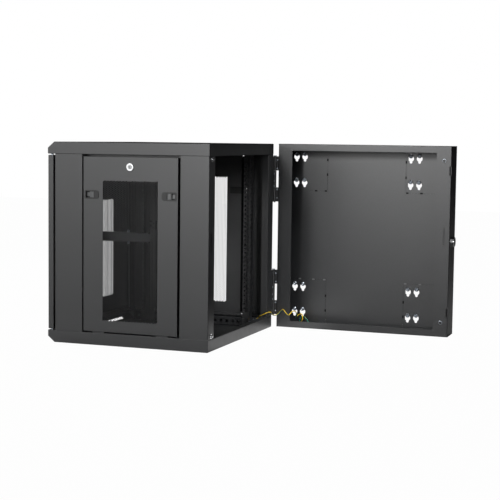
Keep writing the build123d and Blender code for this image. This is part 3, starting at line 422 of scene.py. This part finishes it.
def pan_screw(name, place, axis, radius, height, shank, length, body, material, slot):
    head_sides = 16
    recess = height * 0.5
    rings = (
        (0, height - recess, 0),
        (radius * 0.16, height - recess, 0),
        (radius * 0.50, height * 0.95, recess * 0.8),
        (radius * 0.78, height * 0.82, 0),
        (radius * 0.95, height * 0.48, 0),
        (radius, height * 0.14, 0),
        (radius, 0, 0),
        (shank, 0, 0),
        (shank, -length, 0),
        (0, -length, 0),
    )
    turned(name, rings, head_sides, place, axis, body, material)


inner_coat = powder_coat("inner_coat", (0.018, 0.019, 0.021), 0.50, shine=0.40)
rail_coat = powder_coat("rail_coat", (0.026, 0.027, 0.029), 0.40)
zinc = bright_metal("bright_zinc", (0.50, 0.54, 0.60), 0.34)
rail_face = 0.260
bolt_rows = {"lower": 0.01725, "upper": 0.61775}
bolt_lines = {"front": -0.170, "rear": 0.198}
for side, sign in (("left", -1), ("right", 1)):
    for node in ("lower_brace", "mid_brace", "upper_brace"):
        dress(f"{side}_{node}", inner_coat)
    for end, bolt_y in bolt_lines.items():
        dress(f"{side}_{end}_rail", rail_coat)
        for row, bolt_z in bolt_rows.items():
            pan_screw(
                f"{side}_{end}_{row}_rail_bolt",
                (sign * rail_face, bolt_y, bolt_z),
                (-sign, 0, 0),
                radius=0.0058,
                height=0.0030,
                shank=0.0028,
                length=0.0034,
                body="cabinet",
                material=rail_coat,
                slot="rail",
            )


# Side panels: coated sheet folded all round, with a field of small six-sided holes punched in the face.
# Each lifts off; its two feet stand on the base pan's edge and the latches hold it at the posts.
def punched_skin(
    name, edge, window, column_step, row_step, hole_share, cut_outs, sheet, fold, radius, place, flip
):
    points = []
    faces = []

    def add(loop, depth, turned_over=False):
        first = len(points)
        points.extend(place(u, v, depth) for u, v in loop)
        face = list(range(first, len(points)))
        faces.append(face[::-1] if turned_over else face)

    def wall(a, b, depth_a, depth_b):
        first = len(points)
        points.extend((place(*a, depth_a), place(*b, depth_a), place(*b, depth_b), place(*a, depth_b)))
        faces.append([first, first + 1, first + 2, first + 3])

    def inset_loop(inset):
        return [
            (u0 + inset, v0 + inset),
            (u1 - inset, v0 + inset),
            (u1 - inset, v1 - inset),
            (u0 + inset, v1 - inset),
        ]

    u0, u1, v0, v1 = edge
    us = {u0 + radius, u1 - radius, window[0], window[1]}
    vs = {v0 + radius, v1 - radius, window[2], window[3]}
    for cut in cut_outs:
        us.update(cut[:2])
        vs.update(cut[2:])
    us = sorted(us)
    vs = sorted(vs)
    for a, b in zip(us, us[1:]):
        for c, d in zip(vs, vs[1:]):
            middle_u = (a + b) / 2
            middle_v = (c + d) / 2
            if any(k[0] < middle_u < k[1] and k[2] < middle_v < k[3] for k in [window, *cut_outs]):
                continue
            loop = [(a, c), (b, c), (b, d), (a, d)]
            add(loop, 0)
            add(loop, sheet, True)
    for a, b, c, d in cut_outs:
        loop = [(a, c), (b, c), (b, d), (a, d)]
        for p, q in zip(loop, loop[1:] + loop[:1]):
            wall(p, q, 0, sheet)
    bend = [
        (radius * (1 - math.sin(t)), radius * (1 - math.cos(t)))
        for t in (0, math.pi / 6, math.pi / 3, math.pi / 2)
    ]
    profile = bend + [(0, fold), (sheet, fold), (sheet, sheet)]
    for (inset, depth), (next_inset, next_depth) in zip(profile, profile[1:]):
        near = inset_loop(inset)
        far = inset_loop(next_inset)
        for k in range(4):
            m = (k + 1) % 4
            first = len(points)
            points.extend((
                place(*near[k], depth),
                place(*far[k], next_depth),
                place(*far[m], next_depth),
                place(*near[m], depth),
            ))
            faces.append([first, first + 1, first + 2, first + 3])
    columns = round((window[1] - window[0]) / column_step)
    rows = round((window[3] - window[2]) / row_step)
    column_step = (window[1] - window[0]) / (columns + 0.35)
    row_step = (window[3] - window[2]) / (rows + 0.55)
    half_row = row_step / 2
    slant = half_row * half_row / (2 * column_step)
    flat = column_step / 2 - slant / 2
    cell = [
        (flat + slant, 0),
        (flat, half_row),
        (-flat, half_row),
        (-flat - slant, 0),
        (-flat, -half_row),
        (flat, -half_row),
    ]

    def clipped(loop):
        sides = ((0, window[0], 1), (0, window[1], -1), (1, window[2], 1), (1, window[3], -1))
        for axis, limit, sign in sides:
            kept = []
            for p, q in zip(loop, loop[1:] + loop[:1]):
                p_in = sign * (p[axis] - limit) >= 0
                q_in = sign * (q[axis] - limit) >= 0
                if p_in:
                    kept.append(p)
                if p_in != q_in:
                    t = (limit - p[axis]) / (q[axis] - p[axis])
                    kept.append((p[0] + t * (q[0] - p[0]), p[1] + t * (q[1] - p[1])))
            loop = kept
            if len(loop) < 3:
                return []
        return loop

    centre_u = (window[0] + window[1]) / 2
    centre_v = (window[2] + window[3]) / 2
    for column in range(-1, columns + 1):
        for row in range(-2, rows + 2):
            stagger = row_step / 4 if column % 2 else -row_step / 4
            u = centre_u + (column - (columns - 1) / 2) * column_step
            v = centre_v + (row - (rows - 1) / 2) * row_step + stagger
            outline = [(u + a, v + b) for a, b in cell]
            hole = [(u + a * hole_share, v + b * hole_share) for a, b in cell]
            whole_cell = all(
                window[0] <= a <= window[1] and window[2] <= b <= window[3] for a, b in outline
            )
            if whole_cell:
                for k in range(6):
                    m = (k + 1) % 6
                    band = [outline[k], outline[m], hole[m], hole[k]]
                    add(band, 0)
                    add(band, sheet, True)
                    wall(hole[k], hole[m], 0, sheet)
            else:
                plain = clipped(outline)
                if plain:
                    add(plain, 0)
                    add(plain, sheet, True)
    if flip:
        faces = [face[::-1] for face in faces]
    mesh = bpy.data.meshes.new(name)
    mesh.from_pydata(points, [], faces)
    shape = bmesh.new()
    shape.from_mesh(mesh)
    bmesh.ops.remove_doubles(shape, verts=shape.verts, dist=0.00001)
    shape.to_mesh(mesh)
    shape.free()
    skin = bpy.data.objects.new(name, mesh)
    bpy.context.scene.collection.objects.link(skin)
    return skin


def bevelled_bar(name, low, high, bevel, body, material):
    size = [b - a for a, b in zip(low, high)]
    middle = [(a + b) / 2 for a, b in zip(low, high)]
    shape = bmesh.new()
    bmesh.ops.create_cube(shape, size=1)
    bmesh.ops.scale(shape, vec=size, verts=shape.verts)
    bmesh.ops.translate(shape, vec=middle, verts=shape.verts)
    bmesh.ops.bevel(shape, geom=shape.edges, offset=bevel, segments=2, affect="EDGES")
    mesh = bpy.data.meshes.new(name)
    shape.to_mesh(mesh)
    shape.free()
    mesh.materials.append(material)
    bar = bpy.data.objects.new(name, mesh)
    bpy.context.scene.collection.objects.link(bar)
    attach(bar, body)


panel_coat = powder_coat("panel_coat", (0.025, 0.026, 0.028), 0.36)
hole_column = 0.00516
hole_row = 0.0063
hole_share = 0.905
panel_sheet = 0.0012
panel_face = 0.3
panel_fold = 0.014
fold_radius = 0.0015
panel_latch_holes = [(-0.141, -0.097, 0.461, 0.484), (0.120, 0.164, 0.461, 0.484)]
panel_lock_hole = (0.0023, 0.0207, 0.5508, 0.5692)
panel_feet = {"front": (-0.118, -0.076), "rear": (0.099, 0.141)}
foot_inner = 0.288
foot_outer = 0.2985
foot_sole = 0.039
foot_top = 0.044
for side, sign in (("left", -1), ("right", 1)):
    skin = punched_skin(
        f"{side}_punched_panel",
        edge=(-0.1485, 0.1715, 0.0425, 0.591),
        window=(-0.0825, 0.1055, 0.078, 0.518),
        column_step=hole_column,
        row_step=hole_row,
        hole_share=hole_share,
        cut_outs=panel_latch_holes + [panel_lock_hole],
        sheet=panel_sheet,
        fold=panel_fold,
        radius=fold_radius,
        place=lambda u, v, depth, sign=sign: (sign * (panel_face - depth), u, v),
        flip=sign < 0,
    )
    skin.data.materials.append(panel_coat)
    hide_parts(f"{side}_side_panel")
    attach(skin, f"{side}_panel")
    for end, (foot_front, foot_rear) in panel_feet.items():
        inner, outer = sorted((sign * foot_inner, sign * foot_outer))
        bevelled_bar(
            f"{side}_{end}_panel_foot",
            (inner, foot_front, foot_sole),
            (outer, foot_rear, foot_top),
            bevel=0.0008,
            body=f"{side}_panel",
            material=panel_coat,
        )

# Gap shade strips: dark matt bars behind the panels' rear edges, on the rear posts' inner return.
# They paint the gap between panel and post as shade and stop light showing through it, and the rear latch's
# tongue passes in front of them.
# A near-black matt coat that paints the shade in the gap.
painted_gap_shade = powder_coat("painted_gap_shade", (0.006, 0.006, 0.007), 0.85, peel=0.3, speckle=0.2, shine=0.2)
shade_strip_inner = 0.2766
shade_strip_outer = 0.2846
shade_strip_front = 0.1655
shade_strip_rear = 0.178
shade_strip_foot = 0.050
shade_strip_top = 0.584
for side, sign in (("left", -1), ("right", 1)):
    inner, outer = sorted((sign * shade_strip_inner, sign * shade_strip_outer))
    bevelled_bar(
        f"{side}_panel_gap_shade",
        (inner, shade_strip_front, shade_strip_foot),
        (outer, shade_strip_rear, shade_strip_top),
        bevel=0.001,
        body="cabinet",
        material=painted_gap_shade,
    )

# Slide latches: moulded black cups clipped into the panel, each with a thumb slide and a flat tongue.
# The cup is a matt filled plastic, and the slide is a paler grey that shows in its slot.
cup_plastic = powder_coat(
    "cup_plastic", (0.014, 0.0145, 0.015), 0.42, peel=0.03, speckle=0.05, shine=0.6
)
slide_plastic = powder_coat("slide_plastic", (0.20, 0.205, 0.21), 0.40, peel=0.03, speckle=0.04)
for side in ("left", "right"):
    for end in ("front", "rear"):
        dress(f"{side}_{end}_latch_housing", cup_plastic)
        dress(f"{side}_{end}_latch_slider", slide_plastic)

# Cam locks: a chromed barrel and a turning plug with a narrow keyway, held in a round hole by a nut.
# The cam behind the plug is plain zinc plated steel.
chrome = bright_metal("lock_chrome", (0.82, 0.83, 0.84), 0.2)
plug_metal = bright_metal("lock_plug", (0.36, 0.365, 0.37), 0.3)
for lock in ("left_lock", "right_lock", "door_lock", "frame_lock"):
    dress(f"{lock}_barrel", chrome)
    dress(f"{lock}_plug", plug_metal)
    dress(f"{lock}_cam", zinc)

# Front door: one folded skin like the panels, with a wide field of the same small holes.
# It hangs on two plated pivot pins, one in the base pan and one in the top cover.
door_face = -0.273
door_fold = 0.018
door_lock_hole = (-0.2452, -0.2268, 0.3083, 0.3267)
door_skin = punched_skin(
    "punched_door",
    edge=(-0.298, 0.298, 0.0425, 0.593),
    window=(-0.172, 0.172, 0.0985, 0.4365),
    column_step=hole_column,
    row_step=hole_row,
    hole_share=hole_share,
    cut_outs=[door_lock_hole],
    sheet=panel_sheet,
    fold=door_fold,
    radius=fold_radius,
    place=lambda u, v, depth: (u, door_face + depth, v),
    flip=False,
)
door_skin.data.materials.append(panel_coat)
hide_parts("front_door")
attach(door_skin, "door")
for node in ("door_upper_pivot", "door_lower_pivot"):
    dress(node, zinc)

# Wall frame: four folded channels welded into a shallow tray, with a cross-shaped back and corner plates.
# Straps spot-welded behind the seams carry the plates, and small pressed tabs keep them flush.
# The seams are open hairlines, and dark bars sunk in them paint the shade in the gap; the tabs on the
# upright and upper level seams are painted dark as shade, and those on the lower level seams lighter as a
# painted highlight.
frame_coat = powder_coat("frame_coat", (0.024, 0.025, 0.027), 0.32, peel=0.14, speckle=0.20)
for node in (
    "frame_back_plate",
    "frame_top_channel",
    "frame_bottom_channel",
    "frame_hinge_channel",
    "frame_lock_channel",
    "upper_hinge_corner_plate",
    "lower_hinge_corner_plate",
    "upper_lock_corner_plate",
    "lower_lock_corner_plate",
):
    dress(node, frame_coat)
plate_front = -0.404
plate_back = -0.4055
strap_back = -0.4065
strap_half = 0.007
# A near-black matt coat for painted shade: in the seam gaps and on the darker tabs.
seam_shade = powder_coat("seam_shade", (0.004, 0.004, 0.004), 0.7, speckle=0.05, shine=0.2)
# A lighter grey coat for the lower level seams' tabs: a painted highlight where light catches their top
# edges.
tab_highlight_coat = powder_coat("tab_highlight_coat", (0.16, 0.165, 0.17), 0.40)
seam_columns = {"hinge": 0.4375, "lock": 0.7155}
seam_rows = {"lower": 0.162, "upper": 0.473}
strap_columns = {"lower": (0.021, 0.169), "upper": (0.466, 0.614)}
strap_rows = {"hinge": (0.308, 0.4305), "lock": (0.7225, 0.866)}
for column, seam_y in seam_columns.items():
    for row, seam_z in seam_rows.items():
        bevelled_bar(
            f"{row}_{column}_upright_strap",
            (strap_back, seam_y - strap_half, strap_columns[row][0]),
            (plate_back, seam_y + strap_half, strap_columns[row][1]),
            bevel=0.0002,
            body="wall_frame",
            material=frame_coat,
        )
        bevelled_bar(
            f"{row}_{column}_level_strap",
            (strap_back, strap_rows[column][0], seam_z - strap_half),
            (plate_back, strap_rows[column][1], seam_z + strap_half),
            bevel=0.0002,
            body="wall_frame",
            material=frame_coat,
        )
# Seam bars: thin near-black bars at the bottom of each seam gap, painted shade that darkens the hairline.
seam_half = 0.0004
seam_depth = 0.0006
seam_floor = plate_back + seam_depth
for column, seam_y in seam_columns.items():
    for row, seam_z in seam_rows.items():
        bevelled_bar(
            f"{row}_{column}_upright_seam",
            (plate_back, seam_y - seam_half, strap_columns[row][0]),
            (seam_floor, seam_y + seam_half, strap_columns[row][1]),
            bevel=0.0001,
            body="wall_frame",
            material=seam_shade,
        )
        bevelled_bar(
            f"{row}_{column}_level_seam",
            (plate_back, strap_rows[column][0], seam_z - seam_half),
            (seam_floor, strap_rows[column][1], seam_z + seam_half),
            bevel=0.0001,
            body="wall_frame",
            material=seam_shade,
        )
tab_long = 0.0045
tab_wide = 0.0024
tab_proud = 0.0011
upright_tabs = {
    "hinge": (0.054, 0.106, 0.530, 0.581),
    "lock": (0.048, 0.098, 0.525, 0.578),
}
level_tabs = {
    ("lower", "hinge"): (0.342, 0.392, 0.432),
    ("upper", "hinge"): (0.397, 0.432),
    ("lower", "lock"): (0.721, 0.772),
    ("upper", "lock"): (0.721, 0.770),
}
for column, heights in upright_tabs.items():
    for n, z in enumerate(heights):
        bevelled_bar(
            f"{column}_upright_tab_{n}",
            (plate_front, seam_columns[column] - tab_wide, z - tab_long),
            (plate_front + tab_proud, seam_columns[column] + tab_wide, z + tab_long),
            bevel=0.0005,
            body="wall_frame",
            material=seam_shade,
        )
# Tabs on the lower level seams take the painted highlight, and the others take the painted shade.
for (row, column), places in level_tabs.items():
    for n, y in enumerate(places):
        bevelled_bar(
            f"{row}_{column}_level_tab_{n}",
            (plate_front, y - tab_long, seam_rows[row] - tab_wide),
            (plate_front + tab_proud, y + tab_long, seam_rows[row] + tab_wide),
            bevel=0.0005,
            body="wall_frame",
            material=tab_highlight_coat if row == "lower" else seam_shade,
        )

# Rim bushes: plated rings pressed into the free side's rim, which the cabinet's two locating pins enter.
# Each has a thin flange on the rim's face and a rolled mouth.
rim_face = -0.3135
bush_line = 0.863
bush_heights = {"lower": 0.048, "upper": 0.587}
bush_sides = 24
bush_rings = (
    (0.0051, -0.0024, 0),
    (0.0051, 0.0003, 0),
    (0.0054, 0.0006, 0),
    (0.0061, 0.0006, 0),
    (0.0065, 0.0003, 0),
    (0.0065, 0, 0),
    (0.0059, 0, 0),
    (0.0059, -0.0024, 0),
    (0.0051, -0.0024, 0),
)
for level, bush_z in bush_heights.items():
    turned(
        f"{level}_rim_bush",
        bush_rings,
        bush_sides,
        (rim_face, bush_line, bush_z),
        (1, 0, 0),
        "wall_frame",
        zinc,
    )

# Wall screws: zinc plated pan heads, one hung in the upper slot of each keyhole, four to a corner plate.
# They were driven by hand, so no two sit quite alike.
keyhole_columns = (0.3248, 0.3543, 0.7312, 0.7607)
keyhole_rows = (0.045, 0.1345, 0.5005, 0.590)
screw_rise = (0.0090, 0.0098, 0.0084, 0.0094, 0.0102, 0.0088)
screw_drift = (0.0002, -0.0004, 0.0005, 0.0, -0.0003)
for row, keyhole_z in enumerate(keyhole_rows):
    for column, keyhole_y in enumerate(keyhole_columns):
        n = row * len(keyhole_columns) + column
        pan_screw(
            f"wall_screw_{n}",
            (
                plate_front,
                keyhole_y + screw_drift[n % len(screw_drift)],
                keyhole_z + screw_rise[n % len(screw_rise)],
            ),
            (1, 0, 0),
            radius=0.0074,
            height=0.0044,
            shank=0.0030,
            length=0.0029,
            body="wall_frame",
            material=zinc,
            slot="zinc",
        )

# Hinges: steel leaves coated with the cabinet, one folded round the frame's corner, one flat on the post.
# A plated pin joins their knuckles, and small plated screws hold the leaves.
hinge_screw = {"radius": 0.0030, "height": 0.0013, "shank": 0.0015, "length": 0.0022}
hinge_heights = {"upper": 0.514, "lower": 0.121}
frame_screw_line = (-0.314, 0.2832)
frame_screw_rises = (-0.0655, -0.0365, 0.0365, 0.0655)
post_screw_line = (-0.3015, 0.276)
post_screw_rises = (-0.024, -0.007, 0.018)
for level, centre in hinge_heights.items():
    dress(f"{level}_hinge_cabinet_leaf", satin_coat)
    dress(f"{level}_hinge_frame_leaf", satin_coat)
    dress(f"{level}_hinge_pin", zinc)
    for n, rise in enumerate(frame_screw_rises):
        pan_screw(
            f"{level}_hinge_frame_screw_{n}",
            (*frame_screw_line, centre + rise),
            (1, 0, 0),
            body="wall_frame",
            material=zinc,
            slot="zinc",
            **hinge_screw,
        )
    for n, rise in enumerate(post_screw_rises):
        pan_screw(
            f"{level}_hinge_post_screw_{n}",
            (*post_screw_line, centre + rise),
            (0, 1, 0),
            body="cabinet",
            material=zinc,
            slot="zinc",
            **hinge_screw,
        )

# Locating pins: two turned and plated pins riveted to the lock side post, with round noses.
# They drop into the frame's rim when the cabinet is swung shut.
dress("locating_pins", chrome)

# Earth studs: plated ring terminals crimped on the wire's ends and held by a screw head each.
# One stands on the left brace and one on the floor of the wall frame.
for node in ("cabinet_earth_stud", "frame_earth_stud"):
    dress(node, zinc)

# The earth wire: stranded copper in a green sheath with a yellow stripe that winds slowly round it.
# It leaves the brace's terminal, passes under the hinge and curls loosely down to the frame's terminal.
wire_route = [
    (-0.259300, 0.230691, 0.028736),
    (-0.259300, 0.243798, 0.037913),
    (-0.2455, 0.2475, 0.042),
    (-0.2415, 0.2625, 0.049),
    (-0.2465, 0.2785, 0.058),
    (-0.2615, 0.2855, 0.056),
    (-0.2795, 0.2815, 0.047),
    (-0.2975, 0.2845, 0.040),
    (-0.3065, 0.2955, 0.044),
    (-0.3085, 0.3035, 0.055),
    (-0.3035, 0.3135, 0.063),
    (-0.2935, 0.3225, 0.060),
    (-0.2915, 0.3305, 0.049),
    (-0.3015, 0.3365, 0.043),
    (-0.3125, 0.3385, 0.049),
    (-0.3195, 0.3455, 0.058),
    (-0.3275, 0.3535, 0.055),
    (-0.3335, 0.3565, 0.042),
    (-0.3425, 0.3505, 0.032),
    (-0.3555, 0.3445, 0.029),
    (-0.3665, 0.3485, 0.037),
    (-0.3655, 0.3615, 0.044),
    (-0.3555, 0.3705, 0.038),
    (-0.3505, 0.3705, 0.023),
    (-0.3575, 0.3625, 0.011),
    (-0.3695, 0.3535, 0.014),
    (-0.3745, 0.3555, 0.028),
    (-0.3705, 0.3665, 0.035),
    (-0.3635, 0.3785, 0.029),
    (-0.3615, 0.3895, 0.016),
    (-0.362, 0.400, 0.0042),
    (-0.362, 0.410, 0.0042),
]
wire_radius = 0.0016
wire_sides = 12
stripe_twist = 18.0
stripe_start = 4.9
stripe_edge = (0.44, 0.50)
sheath_green = (0.006, 0.23, 0.16, 1)
sheath_yellow = (0.90, 0.60, 0.02, 1)
sheath_gloss = 0.35
sheath_grain = 1500
wire_curve = bpy.data.curves.new("wire_route", "CURVE")
wire_curve.dimensions = "3D"
wire_curve.resolution_u = 8
spline = wire_curve.splines.new("NURBS")
spline.points.add(len(wire_route) - 1)
for point, place in zip(spline.points, wire_route):
    point.co = (*place, 1.0)
spline.order_u = 3
spline.use_endpoint_u = True
wire_line = bpy.data.objects.new("wire_line", wire_curve)
bpy.context.scene.collection.objects.link(wire_line)
bpy.context.view_layer.update()
drawn_line = wire_line.evaluated_get(bpy.context.evaluated_depsgraph_get())
line_mesh = bpy.data.meshes.new_from_object(drawn_line)
wire_path = [v.co.copy() for v in line_mesh.vertices]
bpy.data.objects.remove(wire_line)
tube_points = []
tube_faces = []
stripe_angles = []
side_way = (wire_path[1] - wire_path[0]).orthogonal().normalized()
run_length = 0.0
for n, centre in enumerate(wire_path):
    along = (wire_path[min(n + 1, len(wire_path) - 1)] - wire_path[max(n - 1, 0)]).normalized()
    side_way = (side_way - along * side_way.dot(along)).normalized()
    up_way = along.cross(side_way)
    run_length += (centre - wire_path[max(n - 1, 0)]).length
    for k in range(wire_sides):
        angle = 2 * math.pi * k / wire_sides
        outward = side_way * math.cos(angle) + up_way * math.sin(angle)
        tube_points.append(centre + outward * wire_radius)
        stripe_angles.append(math.cos(angle + stripe_start + run_length * stripe_twist))
for n in range(len(wire_path) - 1):
    first = n * wire_sides
    for k in range(wire_sides):
        after = (k + 1) % wire_sides
        tube_faces.append((first + k, first + after, first + wire_sides + after, first + wire_sides + k))
tube_faces.append(tuple(reversed(range(wire_sides))))
tube_faces.append(tuple(range(len(tube_points) - wire_sides, len(tube_points))))
wire_mesh = bpy.data.meshes.new("earth_wire_sheath")
wire_mesh.from_pydata(tube_points, [], tube_faces)
for polygon in wire_mesh.polygons:
    polygon.use_smooth = True
stripe = wire_mesh.attributes.new("stripe", "FLOAT", "POINT")
stripe.data.foreach_set("value", stripe_angles)
wire_sheath = bpy.data.objects.new("earth_wire_sheath", wire_mesh)
bpy.context.scene.collection.objects.link(wire_sheath)
sheath = bpy.data.materials.new("striped_sheath")
sheath.use_nodes = True
nodes, links = sheath.node_tree.nodes, sheath.node_tree.links
shader = nodes["Principled BSDF"]
shader.inputs["Roughness"].default_value = sheath_gloss
stripe_value = nodes.new("ShaderNodeAttribute")
stripe_value.attribute_name = "stripe"
stripe_colours = nodes.new("ShaderNodeValToRGB")
stripe_colours.color_ramp.elements[0].position = stripe_edge[0]
stripe_colours.color_ramp.elements[0].color = sheath_green
stripe_colours.color_ramp.elements[1].position = stripe_edge[1]
stripe_colours.color_ramp.elements[1].color = sheath_yellow
stripe_shift = ramp(nodes, -1.0, 1.0)
links.new(stripe_value.outputs["Fac"], stripe_shift.inputs["Value"])
links.new(stripe_shift.outputs["Result"], stripe_colours.inputs["Fac"])
links.new(stripe_colours.outputs["Color"], shader.inputs["Base Color"])
grain = nodes.new("ShaderNodeTexNoise")
grain.inputs["Scale"].default_value = sheath_grain
grain_bump = nodes.new("ShaderNodeBump")
grain_bump.inputs["Strength"].default_value = 0.05
grain_bump.inputs["Distance"].default_value = 0.0002
links.new(grain.outputs["Fac"], grain_bump.inputs["Height"])
links.new(grain_bump.outputs["Normal"], shader.inputs["Normal"])
wire_mesh.materials.append(sheath)
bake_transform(wire_sheath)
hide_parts("earth_wire")
